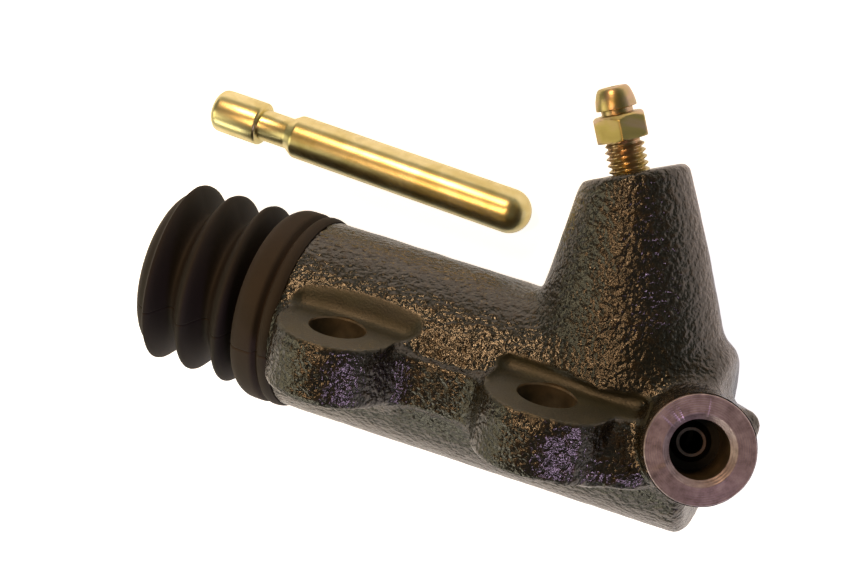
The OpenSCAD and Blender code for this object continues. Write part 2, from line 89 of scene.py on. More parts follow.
# Where the port's and the bleed screw's axes meet the bore axis, and which way they point
PORT_AT = Vector((43.8 * MM, BORE_Y, BORE_Z))
PORT_LEAN = math.radians(17.2)
PORT_RAISE = math.radians(17.0)
PORT_WAY = Vector((
    math.sin(PORT_LEAN),
    math.cos(PORT_LEAN) * math.sin(PORT_RAISE),
    math.cos(PORT_LEAN) * math.cos(PORT_RAISE),
))
BLEED_AT = Vector((44.4 * MM, BORE_Y, BORE_Z))
BLEED_LEAN = math.radians(25.0)
BLEED_WAY = Vector((-math.sin(BLEED_LEAN), math.cos(BLEED_LEAN), 0.0))
# Places on the casting, in millimetres: the mounting holes to each side of the middle, the ears' far side,
# where the barrel starts under the boot and ends, and where the fluid bore ends
EAR_X = 21.75
EAR_BACK_Y = -12.0
BARREL_FROM_X = -36.6
BARREL_END_X = 50.2
BORE_END_X = 45.6
# Radii in millimetres: the fluid bore, the mounting holes and their softened rims, the port's face and bore
BORE_R = 11.1
HOLE_R = 5.5
HOLE_RIM_R = 5.8
PORT_FACE_R = 10.0
PORT_BORE_R = 5.45
# The return spring: its wire, its mean diameters at the spreader and at the bore's end, the share of its
# length at which it reaches the second, its turns, and how many of them are closed up at each end
SPRING_WIRE = 1.5 * MM
SPRING_CUP_D = 10.4 * MM
SPRING_END_D = 18.0 * MM
SPRING_WIDE_FROM = 0.8
SPRING_TURNS = 8
SPRING_CLOSED_TURNS = 0.75
# The casting's finishes, and the painted shade on the port's floor, as the indices of its materials
SKIN, FACED, DRILLED, PAINTED_SHADE = range(4)
# Which way round the boot its mould's parting line lies, in degrees
PARTING_TURN = 12.7
# Each ear's pad is cut back into the barrel: from x, to x, the end's slant, up to y, a dip in that, the
# radius of the hollow behind the pad, and the bow of the wall, in millimetres
PAD_CUTS = ((-34.3, -8.0, 0.55, 30.0, 0.0, 2.0, 0.006), (9.6, 41.0, 0.0, 3.6, 1.2, 2.6, 0.0))


def linear(hex_colour):
    """A linear RGBA from an sRGB hex value, such as "#2a2520"."""
    parts = [int(hex_colour[i:i + 2], 16) / 255 for i in (1, 3, 5)]
    return tuple(p / 12.92 if p <= 0.04045 else ((p + 0.055) / 1.055) ** 2.4 for p in parts) + (1.0,)


def add_node(tree, kind, settings=None, inputs=None, links=None, stops=()):
    """Adds a node, sets its properties, unlinked inputs and colour stops, and links it from other sockets."""
    node = tree.nodes.new(kind)
    for name, value in (settings or {}).items():
        setattr(node, name, value)
    for name, value in (inputs or {}).items():
        node.inputs[name].default_value = value
    for name, socket in (links or {}).items():
        tree.links.new(socket, node.inputs[name])
    if stops:
        elements = node.color_ramp.elements
        while len(elements) < len(stops):
            elements.new(1.0)
        for element, (position, colour) in zip(elements, stops):
            element.position = position
            element.color = linear(colour)
    return node


def bore_matrix():
    """Stands a turned piece, drawn up its own Z, along the bore axis."""
    return Matrix.Translation((0.0, BORE_Y, BORE_Z)) @ Matrix.Rotation(math.radians(90), 4, "Y")


def axis_matrix(at, way):
    """Stands a turned piece, drawn up its own Z, on an axis through a point."""
    return Matrix.Translation(at) @ way.to_track_quat("Z", "Y").to_matrix().to_4x4()


def round_angles(count):
    """Angles evenly round a circle."""
    return [2 * math.pi * i / count for i in range(count)]


def turned_mesh(name, outline, angles, place, closed=False, radius_at=None):
    """A turned mesh from (radius, height) points; radius_at(radius, height, angle) may shape each ring."""
    mesh = bmesh.new()
    rings = []
    segments = len(angles)
    for radius, height in outline:
        if radius < 1e-9:
            rings.append([mesh.verts.new(place @ Vector((0.0, 0.0, height)))])
            continue
        ring = []
        for angle in angles:
            r = radius if radius_at is None else radius_at(radius, height, angle)
            ring.append(mesh.verts.new(place @ Vector((r * math.cos(angle), r * math.sin(angle), height))))
        rings.append(ring)
    pairs = list(zip(rings, rings[1:]))
    if closed:
        pairs.append((rings[-1], rings[0]))
    for low, high in pairs:
        for s in range(segments):
            n = (s + 1) % segments
            if len(low) == 1:
                mesh.faces.new((low[0], high[n], high[s]))
            elif len(high) == 1:
                mesh.faces.new((low[s], low[n], high[0]))
            else:
                mesh.faces.new((low[s], low[n], high[n], high[s]))
    bmesh.ops.recalc_face_normals(mesh, faces=mesh.faces)
    data = bpy.data.meshes.new(name)
    mesh.to_mesh(data)
    mesh.free()
    return data


def add_piece(name, data, materials, body=None, replaced=(), sharp=35.0):
    """Links a mesh as a piece with its materials, smooth shading broken at sharp edges, and its CAD ties."""
    piece = bpy.data.objects.new(name, data)
    bpy.context.scene.collection.objects.link(piece)
    for material in materials:
        data.materials.append(material)
    data.shade_smooth()
    if sharp:
        data.set_sharp_from_angle(angle=math.radians(sharp))
    if body:
        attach(piece, body)
    if replaced:
        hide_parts(*replaced)
    return piece


def replace_old(name):
    """Takes away a piece of that name from an earlier run of its operator."""
    old = bpy.data.objects.get(name)
    if old is not None:
        bpy.data.objects.remove(old, do_unlink=True)


# The casting's distance field, in millimetres: below zero inside the iron, above it outside

def blend(a, b, reach):
    """The union of two fields, with a hollow fillet where they meet."""
    h = np.clip(0.5 + 0.5 * (b - a) / reach, 0.0, 1.0)
    return b + (a - b) * h - reach * h * (1.0 - h)


def take_away(a, b, reach):
    """The first field with the second taken out of it, and a softened rim."""
    return -blend(-a, b, reach)


def rounded_meet(a, b, radius):
    """The space inside both fields, with the edge between them rounded."""
    u = a + radius
    v = b + radius
    return np.hypot(np.maximum(u, 0), np.maximum(v, 0)) + np.minimum(np.maximum(u, v), 0) - radius


def between(value, low, high):
    """The field of the slab between two values."""
    return np.maximum(low - value, value - high)


def along(x, y, z, at, way):
    """How far along an axis each place is, and how far from it."""
    at = np.array(at) / MM
    u, v, w = x - at[0], y - at[1], z - at[2]
    t = u * way[0] + v * way[1] + w * way[2]
    return t, np.sqrt(np.maximum(u * u + v * v + w * w - t * t, 0.0))


def pad_cuts(x, y, z):
    """The space that is cut away above the ears' pads, back to a wall with a hollow foot."""
    up = z - BORE_Z / MM
    wall_up, wall_x = 15.0, -17.0
    dip_x, dip_reach = 30.0, 5.5
    corner_r, rim_r = 2.4, 2.3
    cuts = []
    for x0, x1, slant, top, dip, hollow, bow in PAD_CUTS:
        wall = wall_up + bow * (x - wall_x) ** 2
        ends = np.maximum(x0 - x, (x - x1 - slant * y) / math.hypot(1.0, slant))
        foot = rounded_meet(rounded_meet(-y, wall - up, hollow), ends, corner_r)
        dipped = y - top + dip * np.exp(-((x - dip_x) / dip_reach) ** 2)
        cuts.append(rounded_meet(foot, dipped, rim_r))
    return np.minimum(cuts[0], cuts[1])


def barrel_field(x, out, s):
    """The barrel, a little tapered, with a rounded closed end and a stepped neck that the boot grips."""
    open_end_r, taper, taper_length = 19.9, 1.1, 83.2
    neck_r, lip_r = 17.9, 18.7
    barrel_r = open_end_r - taper * (x - BARREL_FROM_X) / taper_length
    barrel = rounded_meet(out - barrel_r, x - BARREL_END_X, s.end_rounding / MM)
    barrel = np.maximum(barrel, BARREL_FROM_X - x)
    barrel = np.minimum(barrel, np.maximum(out - neck_r, between(x, -44.0, -36.0)))
    return np.minimum(barrel, np.maximum(out - lip_r, between(x, -45.0, -41.0)))


def add_webs(shape, x, y, z, s):
    """The web between the ears, the ledge that runs on to the port, and the tapered pillar beside it."""
    up = z - BORE_Z / MM
    web_up, ledge_up, ledge_to_x = 20.3, 20.4, 40.5
    web = rounded_meet(between(y, EAR_BACK_Y, -1.9), up - web_up, 0.6)
    web = np.maximum(np.maximum(web, between(x, -EAR_X, EAR_X)), -up)
    ledge = rounded_meet(between(y, -11.0, 1.0), up - ledge_up, 0.4)
    ledge = np.maximum(np.maximum(ledge, between(x, EAR_X, ledge_to_x)), -up)
    shape = blend(blend(shape, web, s.web_blend / MM), ledge, 0.8)
    pillar_x, pillar_z, foot_r, narrowing, taper_from_y, taper_height = 36.2, -4.0, 8.6, 5.2, -9.0, 8.6
    pillar_r = foot_r - narrowing * np.clip((y - taper_from_y) / taper_height, 0, 1)
    pillar = np.maximum(np.hypot(x - pillar_x, np.maximum(z - pillar_z, 0)) - pillar_r, -up)
    return blend(shape, rounded_meet(pillar, between(y, EAR_BACK_Y, -0.4), 1.2), 1.0)


def add_ears(shape, x, y, z, s):
    """Each ear is a cast lobe with a flat pad a step above it; the second pad runs on to the port."""
    lobe_r, lobe_draft, lobe_top_y = 12.5, 0.03, -1.8
    pad_r, pad_top_y, pad_step_blend = 11.9, 1.5, 0.6
    front = np.maximum(z, 0)
    below = BORE_Z / MM - z
    for x0, reach in ((-EAR_X, 0.0), (EAR_X, 1.5)):
        lobe = np.hypot(x - x0, front) - lobe_r + lobe_draft * (y - EAR_BACK_Y)
        lobe = np.maximum(rounded_meet(lobe, between(y, EAR_BACK_Y, lobe_top_y), 1.0), below)
        pad = np.hypot(np.maximum(x - x0 - reach, 0) + np.minimum(x - x0, 0), front) - pad_r
        if reach:
            # The longer pad's outer edge runs straight and a little downhill to the port
            pad = rounded_meet(pad, 0.2 * (x - x0) + 0.98 * (z - 11.7), 1.5)
        pad = np.maximum(rounded_meet(pad, between(y, EAR_BACK_Y, pad_top_y), 0.3), below)
        shape = blend(blend(shape, lobe, s.ear_blend / MM), pad, pad_step_blend)
    return shape


def bleed_boss_field(x, y, up):
    """The bleed boss: a leaning cone, oval at its foot and round at its top, with a slanted cap."""
    foot_x, foot_y, foot_wide, foot_deep = 30.2, 5.6, 20.0, 16.5
    top_x, top_y, top_r = 23.31, 39.48, 10.5
    cap_slant, cap_rounding, starts_at_y = 0.1, 1.5, 2.2
    cap = (x - top_x) * BLEED_WAY.x + (y - top_y) * BLEED_WAY.y
    from_foot = np.maximum(y - foot_y, 0.01)
    t = from_foot / (from_foot + np.maximum(-cap, 0.0) + 1e-6)
    lean = t * BLEED_LEAN
    from_x = x - foot_x - t * (top_x - foot_x)
    from_y = y - foot_y - t * (top_y - foot_y)
    u = from_x * np.cos(lean) + from_y * np.sin(lean)
    wide = foot_wide + t * (top_r - foot_wide)
    deep = foot_deep + t * (top_r - foot_deep)
    reach = np.hypot(u / wide, up / deep) + 1e-6
    cone = np.hypot(u, up) * (1.0 - 1.0 / reach)
    return np.maximum(rounded_meet(cone, cap - 0.4 - cap_slant * up, cap_rounding), starts_at_y - y)


def port_field(x, y, z):
    """The port's boss, with a rib up its side."""
    boss_r, boss_reach = 10.25, 28.0
    rib_r, rib_reach, rib_out, rib_turn = 3.2, 24.8, 8.8 * MM, math.radians(42)
    t, out = along(x, y, z, PORT_AT, PORT_WAY)
    port = np.maximum(rounded_meet(out - boss_r, t - boss_reach, 0.3), -t)
    turn = Matrix.Rotation(-PORT_RAISE, 3, "X") @ Matrix.Rotation(PORT_LEAN, 3, "Y")
    side = turn @ Vector((math.cos(rib_turn), math.sin(rib_turn), 0.0))
    t, out = along(x, y, z, PORT_AT + side * rib_out, PORT_WAY)
    rib = np.maximum(rounded_meet(out - rib_r, t - rib_reach, 1.6), -t)
    return blend(port, rib, 1.2)


def casting_field(x, y, z, s):
    """The casting as cast, before its bore and holes are cut, over a grid of places in millimetres."""
    up = z - BORE_Z / MM
    shape = barrel_field(x, np.hypot(y - BORE_Y / MM, up), s)
    shape = add_webs(shape, x, y, z, s)
    shape = add_ears(shape, x, y, z, s)
    shape = blend(shape, bleed_boss_field(x, y, up), s.boss_blend / MM)
    shape = take_away(shape, pad_cuts(x, y, z), 0.35)
    return blend(shape, port_field(x, y, z), s.port_blend / MM)


def field_mesh(field, low, cell):
    """The surface where a field passes zero, as points and four-sided faces."""
    inside = field < 0
    shape = tuple(n - 1 for n in field.shape)
    total = shape[0] * shape[1] * shape[2]
    sums = np.zeros((total, 3))
    count = np.zeros(total)
    crossings = []
    # Each grid edge that the surface crosses gives a point, shared out to the four cells round that edge, and
    # those four cells make a face. A cell's own point is the mean of what it was given.
    for axis in range(3):
        first = [slice(None)] * 3
        second = [slice(None)] * 3
        first[axis] = slice(0, -1)
        second[axis] = slice(1, None)
        change = inside[tuple(first)] != inside[tuple(second)]
        at = np.argwhere(change)
        f0 = field[tuple(first)][change]
        f1 = field[tuple(second)][change]
        point = at.astype(float)
        point[:, axis] += f0 / (f0 - f1)
        others = [a for a in range(3) if a != axis]
        keep = np.all((at[:, others] > 0) & (at[:, others] < np.array(field.shape)[others] - 1), axis=1)
        at, point, f0 = at[keep], point[keep], f0[keep]
        cells = []
        for da, db in ((0, 0), (-1, 0), (-1, -1), (0, -1)):
            c = at.copy()
            c[:, others[0]] += da
            c[:, others[1]] += db
            flat = (c[:, 0] * shape[1] + c[:, 1]) * shape[2] + c[:, 2]
            cells.append(flat)
            for k in range(3):
                sums[:, k] += np.bincount(flat, weights=point[:, k], minlength=total)
            count += np.bincount(flat, minlength=total)
        quad = np.stack(cells, axis=1)
        flip = (f0 < 0) == (axis == 1)
        quad[flip] = quad[flip][:, ::-1]
        crossings.append(quad)
    used = np.flatnonzero(count)
    number = np.full(total, -1, np.int64)
    number[used] = np.arange(len(used))
    points = sums[used] / count[used][:, None] * cell + np.array(low)
    return points, number[np.concatenate(crossings)]


def mesh_from(name, points, faces):
    """A Blender mesh from an array of points and a list of faces."""
    data = bpy.data.meshes.new(name)
    data.from_pydata(points.tolist(), [], faces)
    data.update()
    return data


def coil_mesh(name, start, end, sides=12, rings_per_turn=36):
    """The return spring: round wire wound from start to end along the bore, widening on its way."""
    rings = rings_per_turn * SPRING_TURNS
    wire_r = SPRING_WIRE / 2
    share = np.linspace(0.0, 1.0, rings + 1)[:, None]
    around = (2 * math.pi * np.arange(sides) / sides)[None, :]
    turn = 2 * math.pi * SPRING_TURNS * share
    # The end coils lie flat against each other, and the coils between them share out the rest of the length
    closed = SPRING_CLOSED_TURNS / SPRING_TURNS
    rise = SPRING_CLOSED_TURNS * SPRING_WIRE
    length = end - start - SPRING_WIRE
    lead = np.interp(share, [0.0, closed, 1.0 - closed, 1.0], [0.0, rise, length - rise, length])
    widened = np.minimum(1.0, share / SPRING_WIDE_FROM)
    mean_r = (SPRING_CUP_D + (SPRING_END_D - SPRING_CUP_D) * widened) / 2
    r = mean_r + wire_r * np.cos(around)
    x = start + wire_r + lead + wire_r * np.sin(around)
    points = np.stack([x, BORE_Y + r * np.cos(turn), BORE_Z + r * np.sin(turn)], axis=-1).reshape(-1, 3)
    # Each ring is joined to the next, and the first and last are closed by a face
    ring = np.arange(rings)[:, None] * sides
    this = ring + np.arange(sides)
    following = ring + (np.arange(sides) + 1) % sides
    faces = np.stack([this, following, following + sides, this + sides], axis=-1).reshape(-1, 4).tolist()
    faces += [list(range(sides))[::-1], [rings * sides + k for k in range(sides)]]
    data = mesh_from(name, points, faces)
    mesh = bmesh.new()
    mesh.from_mesh(data)
    bmesh.ops.recalc_face_normals(mesh, faces=mesh.faces)
    mesh.to_mesh(data)
    mesh.free()
    return data


def cut_with(piece, cutters):
    """Cuts solids out of a piece, and takes the cutters away again."""
    for data in cutters:
        cutter = bpy.data.objects.new(data.name, data)
        bpy.context.scene.collection.objects.link(cutter)
        cut = piece.modifiers.new(data.name, "BOOLEAN")
        cut.operation = "DIFFERENCE"
        cut.solver = "MANIFOLD"
        cut.object = cutter
        graph = bpy.context.evaluated_depsgraph_get()
        result = bpy.data.meshes.new_from_object(piece.evaluated_get(graph))
        if len(result.vertices) == len(piece.data.vertices):
            raise RuntimeError("the cut %s changed nothing" % data.name)
        piece.modifiers.clear()
        piece.data = result
        bpy.data.objects.remove(cutter, do_unlink=True)


# Materials. Each is named for what the real surface is and how it was made, and for any light or shade
# painted into it.

def new_material(name):
    """A node material: its tree, its shader and its object coordinates."""
    material = bpy.data.materials.new(name)
    material.use_nodes = True
    tree = material.node_tree
    tree.nodes.clear()
    shader = add_node(tree, "ShaderNodeBsdfPrincipled")
    add_node(tree, "ShaderNodeOutputMaterial", links={"Surface": shader.outputs["BSDF"]})
    place = add_node(tree, "ShaderNodeTexCoord").outputs["Object"]
    return material, tree, shader, place


def per_mm(size_mm):
    """A texture's scale for marks of that size, because object coordinates are in metres."""
    return 1000.0 / size_mm


def distance_from_axis(tree, place, at, way):
    """The socket of each point's distance from an axis, in metres, and of its distance along it."""
    arm = add_node(tree, "ShaderNodeVectorMath", {"operation": "SUBTRACT"}, {1: tuple(at)}, {0: place})
    t = add_node(tree, "ShaderNodeVectorMath", {"operation": "DOT_PRODUCT"}, {1: tuple(way)},
                 {0: arm.outputs["Vector"]})
    back = add_node(tree, "ShaderNodeVectorMath", {"operation": "SCALE"}, {0: tuple(way)},
                    {"Scale": t.outputs["Value"]})
    side = add_node(tree, "ShaderNodeVectorMath", {"operation": "SUBTRACT"},
                    links={0: arm.outputs["Vector"], 1: back.outputs["Vector"]})
    out = add_node(tree, "ShaderNodeVectorMath", {"operation": "LENGTH"}, links={0: side.outputs["Vector"]})
    return out.outputs["Value"], t.outputs["Value"]


def turning_rings(tree, distance, ring_mm):
    """The socket of a wave that rises and falls once in each ring's width, as a turning tool leaves it."""
    turns = add_node(tree, "ShaderNodeMath", {"operation": "MULTIPLY"}, {1: 2 * math.pi / (ring_mm * MM)},
                     {0: distance})
    return add_node(tree, "ShaderNodeMath", {"operation": "SINE"}, links={0: turns.outputs[0]}).outputs[0]


def cast_iron_skin():
    """Sand-cast iron, lacquered: dark glossy pebbles with a painted brassy glint colour on their tops, dull
    olive where it is milled.
    """
    material, tree, shader, place = new_material("Cast iron, sand cast, milled and lacquered, painted glints")
    milled = add_node(tree, "ShaderNodeAttribute", {"attribute_name": "milled"}).outputs["Fac"]
    patch, pebble, grit, cloud = (
        add_node(tree, "ShaderNodeTexNoise", links={"Vector": place},
                 inputs={"Scale": per_mm(size), "Detail": detail, "Roughness": rough}).outputs["Fac"]
        for size, detail, rough in ((13, 2.0, 0.55), (1.15, 1.0, 0.5), (0.5, 2.0, 0.6), (5, 4.0, 0.6)))
    # Shares and strengths, each read off a pattern between two of its levels
    glint_top_share, patchy, skin_gloss, milled_gloss, pebble_height = (
        add_node(tree, "ShaderNodeMapRange", links={"Value": value}, inputs={
            "From Min": low, "From Max": high, "To Min": to_low, "To Max": to_high}).outputs["Result"]
        for value, low, high, to_low, to_high in (
            (pebble, 0.5, 0.7, 0.0, 1.0), (patch, 0.35, 0.65, 0.1, 0.5), (grit, 0.3, 0.7, 0.13, 0.3),
            (cloud, 0.3, 0.7, 0.45, 0.6), (milled, 0.0, 1.0, 0.9, 0.05)))
    dark = add_node(tree, "ShaderNodeValToRGB", links={"Fac": grit},
                    stops=[(0.35, "#0f0e09"), (0.55, "#17150e"), (0.75, "#221e13")])
    olive = add_node(tree, "ShaderNodeValToRGB", links={"Fac": cloud},
                     stops=[(0.3, "#22231a"), (0.6, "#2e2e20"), (0.8, "#383722")])
    # A painted brassy glint colour on the pebbles' tops, more on some patches than on others
    painted_glint_tops = add_node(tree, "ShaderNodeMath", {"operation": "MULTIPLY"}, links={0: glint_top_share, 1: patchy}).outputs[0]
    pebbles_and_painted_glints = add_node(tree, "ShaderNodeMix", {"data_type": "RGBA"}, {7: linear("#3e3018")},
                       {0: painted_glint_tops, 6: dark.outputs["Color"]})
    colour = add_node(tree, "ShaderNodeMix", {"data_type": "RGBA"},
                      links={0: milled, 6: pebbles_and_painted_glints.outputs[2], 7: olive.outputs["Color"]})
    # The painted glint tops are also made partly metallic, so that the lamps shine brassy there
    glint_metal_share = add_node(tree, "ShaderNodeMath", {"operation": "MULTIPLY"}, {1: 0.6}, {0: painted_glint_tops})
    metal = add_node(tree, "ShaderNodeMix", {"data_type": "FLOAT"}, {3: 0.0}, {0: milled, 2: glint_metal_share.outputs[0]})
    gloss = add_node(tree, "ShaderNodeMix", {"data_type": "FLOAT"},
                     links={0: milled, 2: skin_gloss, 3: milled_gloss})
    coarse = add_node(tree, "ShaderNodeBump", inputs={"Distance": 0.5 * MM},
                      links={"Height": pebble, "Strength": pebble_height})
    fine = add_node(tree, "ShaderNodeBump", inputs={"Strength": 0.7, "Distance": 0.16 * MM},
                    links={"Height": grit, "Normal": coarse.outputs["Normal"]})
    tree.links.new(colour.outputs[2], shader.inputs["Base Color"])
    tree.links.new(metal.outputs[0], shader.inputs["Metallic"])
    tree.links.new(gloss.outputs[0], shader.inputs["Roughness"])
    tree.links.new(fine.outputs["Normal"], shader.inputs["Normal"])
    shader.inputs["IOR"].default_value = 1.6
    return material


def faced_iron():
    """Bare iron faced on a lathe: pinkish grey with fine rings from the tool."""
    material, tree, shader, place = new_material("Cast iron, faced and bare")
    out, _ = distance_from_axis(tree, place, PORT_AT, PORT_WAY)
    # Real tool marks are about 0.15 mm apart; they are drawn at 0.42 mm so that they show
    rings = turning_rings(tree, out, 0.42)
    cloud = add_node(tree, "ShaderNodeTexNoise", links={"Vector": place},
                     inputs={"Scale": per_mm(2.4), "Detail": 4.0, "Roughness": 0.65})
    colour = add_node(tree, "ShaderNodeValToRGB", links={"Fac": cloud.outputs["Fac"]},
                      stops=[(0.25, "#6b6064"), (0.5, "#9b8e95"), (0.75, "#b8acb4")])
    bump = add_node(tree, "ShaderNodeBump", inputs={"Strength": 0.35, "Distance": 0.03 * MM},
                    links={"Height": rings})
    tree.links.new(colour.outputs["Color"], shader.inputs["Base Color"])
    tree.links.new(bump.outputs["Normal"], shader.inputs["Normal"])
    shader.inputs["Metallic"].default_value = 0.75
    shader.inputs["Roughness"].default_value = 0.4
    return material


def drilled_iron():
    """Iron left by a drill: smooth brown walls with faint marks, darker in patches where oil stays."""
    material, tree, shader, place = new_material("Cast iron, drilled and oiled")
    cloud = add_node(tree, "ShaderNodeTexNoise", inputs={"Scale": per_mm(3), "Detail": 3.0},
                     links={"Vector": place})
    colour = add_node(tree, "ShaderNodeValToRGB", links={"Fac": cloud.outputs["Fac"]},
                      stops=[(0.3, "#3f382c"), (0.7, "#625643")])
    marks = add_node(tree, "ShaderNodeTexNoise", inputs={"Scale": per_mm(0.8), "Detail": 2.0},
                     links={"Vector": place})
    bump = add_node(tree, "ShaderNodeBump", inputs={"Strength": 0.25, "Distance": 0.05 * MM},
                    links={"Height": marks.outputs["Fac"]})
    tree.links.new(colour.outputs["Color"], shader.inputs["Base Color"])
    tree.links.new(bump.outputs["Normal"], shader.inputs["Normal"])
    shader.inputs["Metallic"].default_value = 0.5
    shader.inputs["Roughness"].default_value = 0.36
    return material


def painted_shade_iron():
    """The port's floor, painted near black and dull as the shade deep in the hole."""
    material, tree, shader, place = new_material("Cast iron, drilled, painted black as shade")
    shade_mottle = add_node(tree, "ShaderNodeTexNoise", links={"Vector": place},
                     inputs={"Scale": per_mm(2), "Detail": 3.0, "Roughness": 0.55})
    colour = add_node(tree, "ShaderNodeValToRGB", links={"Fac": shade_mottle.outputs["Fac"]},
                      stops=[(0.3, "#0a0909"), (0.7, "#161412")])
    tree.links.new(colour.outputs["Color"], shader.inputs["Base Color"])
    shader.inputs["Roughness"].default_value = 0.5
    return material


def moulded_rubber(name, dark, light, roughness, grain_mm, painted_light_tones=()):
    """Moulded rubber: matt and near black, a little browner where dust clings.

    Painted light tones are (x in millimetres, colour) pairs that the rubber passes through along X, to paint
    light and shade along it.
    """
    material, tree, shader, place = new_material(name)
    cloud = add_node(tree, "ShaderNodeTexNoise", links={"Vector": place},
                     inputs={"Scale": per_mm(9), "Detail": 5.0, "Roughness": 0.65}).outputs["Fac"]
    colour = add_node(tree, "ShaderNodeValToRGB", links={"Fac": cloud},
                      stops=[(0.3, dark), (0.7, light)]).outputs["Color"]
    # The painted light tones lighten the rubber where light falls on it, mixed with its own cloud
    if painted_light_tones:
        first, last = painted_light_tones[0][0], painted_light_tones[-1][0]
        x = add_node(tree, "ShaderNodeSeparateXYZ", links={0: place}).outputs["X"]
        reach = add_node(tree, "ShaderNodeMapRange", links={"Value": x}, inputs={
            "From Min": first * MM, "From Max": last * MM, "To Min": 0.0, "To Max": 1.0})
        painted_light_tone = add_node(tree, "ShaderNodeValToRGB", links={"Fac": reach.outputs["Result"]},
                        stops=[((at - first) / (last - first), c) for at, c in painted_light_tones])
        share = add_node(tree, "ShaderNodeMapRange", links={"Value": cloud}, inputs={
            "From Min": 0.3, "From Max": 0.7, "To Min": 0.6, "To Max": 1.0})
        colour = add_node(tree, "ShaderNodeMix", {"data_type": "RGBA"}, links={
            0: share.outputs["Result"], 6: colour, 7: painted_light_tone.outputs["Color"]}).outputs[2]
    grain = add_node(tree, "ShaderNodeTexNoise", inputs={"Scale": per_mm(grain_mm), "Detail": 3.0},
                     links={"Vector": place})
    bump = add_node(tree, "ShaderNodeBump", inputs={"Strength": 0.2, "Distance": 0.06 * MM},
                    links={"Height": grain.outputs["Fac"]})
    tree.links.new(colour, shader.inputs["Base Color"])
    tree.links.new(bump.outputs["Normal"], shader.inputs["Normal"])
    shader.inputs["Roughness"].default_value = roughness
    shader.inputs["Specular IOR Level"].default_value = 0.3
    shader.inputs["IOR"].default_value = 1.52
    return material


def yellow_zinc(name, colours, roughness, at, way, ring_mm):
    """Turned steel under yellow zinc plate: gold with drifts of pink and green, and rings from turning."""
    material, tree, shader, place = new_material(name)
    drift = add_node(tree, "ShaderNodeTexNoise", links={"Vector": place},
                     inputs={"Scale": per_mm(7), "Detail": 3.0, "Roughness": 0.5, "Distortion": 0.8})
    colour = add_node(tree, "ShaderNodeValToRGB", links={"Fac": drift.outputs["Fac"]},
                      stops=[(0.25 + 0.5 * i / (len(colours) - 1), c) for i, c in enumerate(colours)])
    _, t = distance_from_axis(tree, place, at, way)
    scratch = add_node(tree, "ShaderNodeTexNoise", inputs={"Scale": per_mm(1.2), "Detail": 3.0},
                       links={"Vector": place})
    height = add_node(tree, "ShaderNodeMath", {"operation": "MULTIPLY_ADD"}, {1: 0.3},
                      {0: turning_rings(tree, t, ring_mm), 2: scratch.outputs["Fac"]})
    bump = add_node(tree, "ShaderNodeBump", inputs={"Strength": 0.2, "Distance": 0.03 * MM},
                    links={"Height": height.outputs[0]})
    tree.links.new(colour.outputs["Color"], shader.inputs["Base Color"])
    tree.links.new(bump.outputs["Normal"], shader.inputs["Normal"])
    shader.inputs["Metallic"].default_value = 1.0
    shader.inputs["Roughness"].default_value = roughness
    return material


def worked_metal(name, dark, light, roughness, grain_mm):
    """Bare turned or drawn metal: an even grey with a fine grain from the tool or die."""
    material, tree, shader, place = new_material(name)
    cloud = add_node(tree, "ShaderNodeTexNoise", inputs={"Scale": per_mm(4), "Detail": 3.0},
                     links={"Vector": place})
    colour = add_node(tree, "ShaderNodeValToRGB", links={"Fac": cloud.outputs["Fac"]},
                      stops=[(0.3, dark), (0.7, light)])
    grain = add_node(tree, "ShaderNodeTexNoise", inputs={"Scale": per_mm(grain_mm), "Detail": 2.0},
                     links={"Vector": place})
    bump = add_node(tree, "ShaderNodeBump", inputs={"Strength": 0.2, "Distance": 0.03 * MM},
                    links={"Height": grain.outputs["Fac"]})
    tree.links.new(colour.outputs["Color"], shader.inputs["Base Color"])
    tree.links.new(bump.outputs["Normal"], shader.inputs["Normal"])
    shader.inputs["Metallic"].default_value = 1.0
    shader.inputs["Roughness"].default_value = roughness
    return material


def moulded_nylon():
    """Moulded nylon: a warm cream, half matt, clouded where it cooled."""
    material, tree, shader, place = new_material("Nylon, moulded")
    cloud = add_node(tree, "ShaderNodeTexNoise", inputs={"Scale": per_mm(3), "Detail": 3.0},
                     links={"Vector": place})
    colour = add_node(tree, "ShaderNodeValToRGB", links={"Fac": cloud.outputs["Fac"]},
                      stops=[(0.3, "#c2ad72"), (0.7, "#d6c48d")])
    tree.links.new(colour.outputs["Color"], shader.inputs["Base Color"])
    shader.inputs["Roughness"].default_value = 0.5
    shader.inputs["IOR"].default_value = 1.53
    return material


# Sizes and colours that a user would change

class CastBodySettings(bpy.types.PropertyGroup):
    """Sizes of the casting's visible skin."""

    cell: FloatProperty(name="Skin cell", description="Spacing of the points on the cast skin",
                        default=0.62 * MM, min=0.4 * MM, max=2 * MM, unit="LENGTH")
    end_rounding: FloatProperty(name="End rounding", description="Rounding of the closed end's rim",
                                default=2.5 * MM, min=1 * MM, max=5 * MM, unit="LENGTH")
    boss_blend: FloatProperty(name="Boss blend", description="Reach of the fillet at the bleed boss's foot",
                              default=3.4 * MM, min=1 * MM, max=12 * MM, unit="LENGTH")
    web_blend: FloatProperty(name="Web blend", description="Reach of the fillet between barrel and web",
                             default=1.2 * MM, min=0.5 * MM, max=8 * MM, unit="LENGTH")
    ear_blend: FloatProperty(name="Ear blend", description="Reach of the fillets round the ears",
                             default=5.6 * MM, min=0.5 * MM, max=8 * MM, unit="LENGTH")
    port_blend: FloatProperty(name="Port blend", description="Reach of the fillet round the port's boss",
                              default=2.6 * MM, min=0.5 * MM, max=6 * MM, unit="LENGTH")
    unevenness: FloatProperty(name="Unevenness", description="How far the cast skin swells and dips",
                              default=0.09 * MM, min=0.0, max=0.3 * MM, unit="LENGTH")


